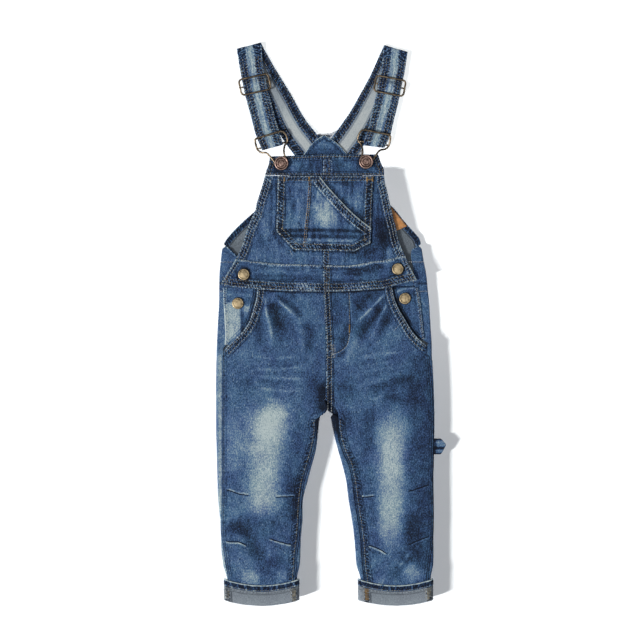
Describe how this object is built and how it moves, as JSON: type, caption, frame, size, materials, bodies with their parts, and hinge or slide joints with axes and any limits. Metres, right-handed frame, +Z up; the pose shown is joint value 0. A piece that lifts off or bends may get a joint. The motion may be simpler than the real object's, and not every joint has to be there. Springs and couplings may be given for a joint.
{
  "type": "child's denim bib overalls",
  "caption": "Toddler's denim bib overalls laid flat, front up, with a chest pocket, slanted hip pockets, turned-up cuffs and wire hooks on the straps.",
  "frame": {"origin": "middle of the footprint, on the surface that the overalls lie on", "axes": "+Z up, out of the front of the garment; +Y from the hems to the shoulder straps; +X to the wearer's left"},
  "size_m": [0.2764, 0.6762, 0.0117],
  "materials": {
    "denim": "stonewashed indigo twill, faded at knees and seams",
    "denim_reverse": "grey reverse side of the twill",
    "leather": "plain tan leather",
    "aged_brass": "antiqued brass wire and stamped buttons",
    "aged_copper": "antiqued copper tack buttons"
  },
  "bodies": {
    "root": {"back_leg_right": "denim", "back_leg_left": "denim", "back_bib": "denim", "back_waistband": "denim", "back_peak_facing": "denim", "front_leg_right": "denim", "front_leg_left": "denim", "hip_facing_right": "denim", "hip_facing_left": "denim", "bib_right": "denim", "bib_left": "denim", "bib_band_right": "denim", "bib_band_left": "denim", "waistband_right": "denim", "waistband_left": "denim", "chest_pocket_back": "denim", "chest_pocket_front": "denim", "cuff_hem_right": "denim", "cuff_hem_left": "denim", "strap_right": "denim", "strap_left": "denim", "hammer_loop": "denim", "cuff_right": "denim_reverse", "cuff_left": "denim_reverse", "leather_patch": "leather", "slider_right": "aged_brass", "slider_left": "aged_brass", "hook_right": "aged_brass", "hook_left": "aged_brass", "side_button_upper_right": "aged_brass", "side_button_lower_right": "aged_brass", "side_button_upper_left": "aged_brass", "side_button_lower_left": "aged_brass", "tack_button_right": "aged_copper", "tack_button_left": "aged_copper"}
  },
  "joints": []
}
